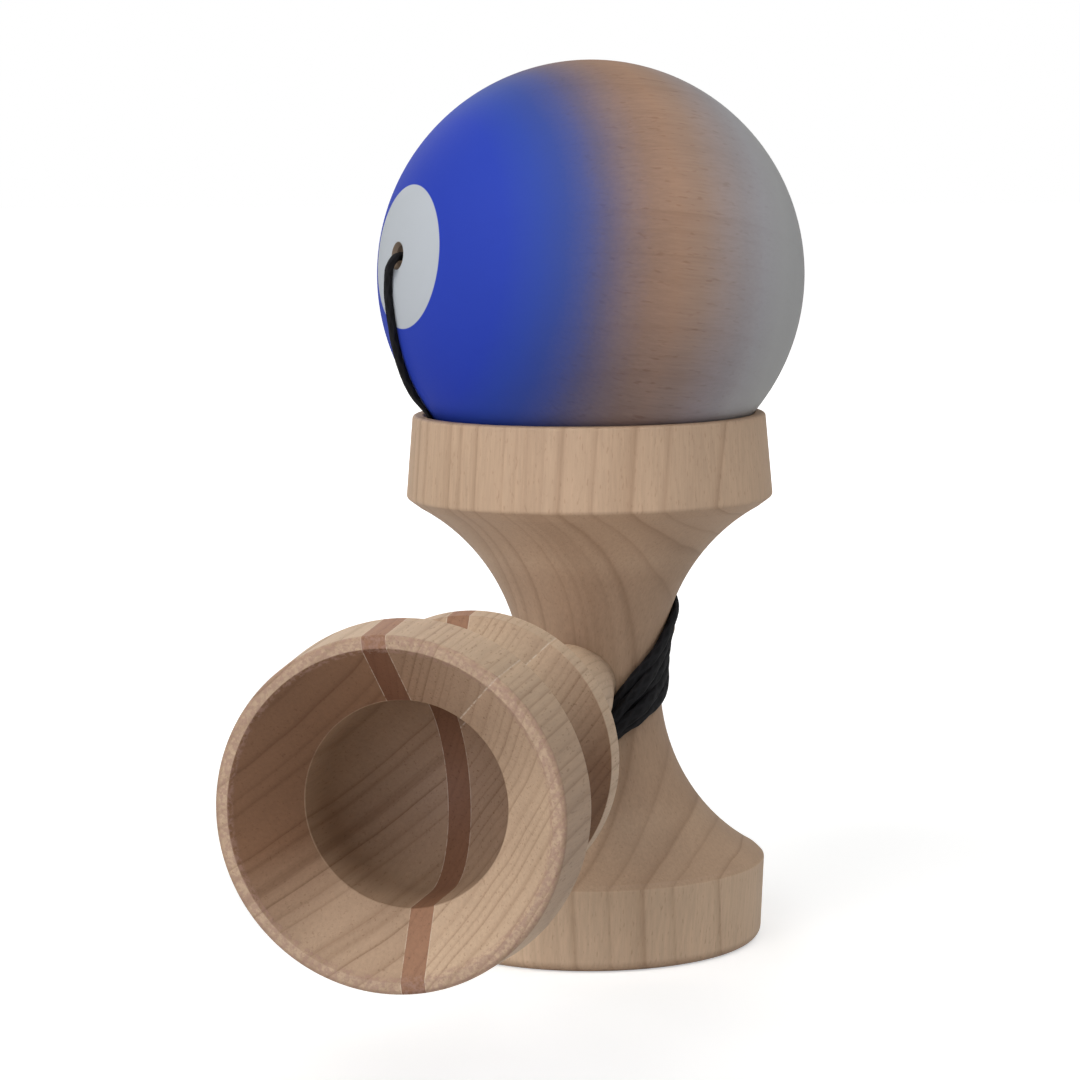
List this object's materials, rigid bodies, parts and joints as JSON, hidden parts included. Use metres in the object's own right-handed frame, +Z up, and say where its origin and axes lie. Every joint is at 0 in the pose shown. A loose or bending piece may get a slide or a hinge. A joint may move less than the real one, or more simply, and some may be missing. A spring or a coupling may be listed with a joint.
{
  "type": "cup-and-ball toy",
  "caption": "Wooden cup-and-ball toy: turned handle with spike and base cup, cross piece with a cup at each end, and a painted ball on a string, standing with the ball in the top cup.",
  "frame": {"origin": "on the floor, under the middle of the handle's length, in the plane of the handle's axis", "axes": "+Z up, along the cross piece's axis; +Y along the handle, from its base cup to its spike; +X to the right when the base cup faces the viewer"},
  "size_m": [0.06, 0.154, 0.1244],
  "materials": {
    "cross_wood": "sanded light hardwood, satin",
    "handle_wood": "sanded light hardwood, satin",
    "strip_wood": "sanded dark hardwood, satin",
    "ball_paint": "satin paint that fades from blue to bare wood to pale grey",
    "bead_wood": "plain turned wood",
    "string": "braided black string"
  },
  "bodies": {
    "cross": {"cross_piece": "cross_wood", "cord_behind_cup": "string", "cord_winding": "string", "cord_tail": "string"},
    "string_end": {"bead": "bead_wood", "bead_knot": "string", "cord_in_ball": "string", "cord_on_ball": "string"},
    "ball": {"ball": "ball_paint"},
    "handle": {"handle_left_block": "handle_wood", "handle_dark_strip": "strip_wood", "handle_right_block": "handle_wood", "stem_knot": "string"}
  },
  "joints": [
    {"name": "ball_lift", "type": "slide", "parent": "cross", "child": "string_end", "axis": [0, 0, 1], "range_m": [0, 0.04]},
    {"name": "ball_spin", "type": "hinge", "parent": "string_end", "child": "ball", "pos_m": [0.0004, 0.026, 0.09439], "axis": [0.7555, 0.6453, -0.1132], "continuous": true},
    {"name": "handle_pull", "type": "slide", "parent": "cross", "child": "handle", "axis": [0, -1, 0], "range_m": [0, 0.063]}
  ]
}
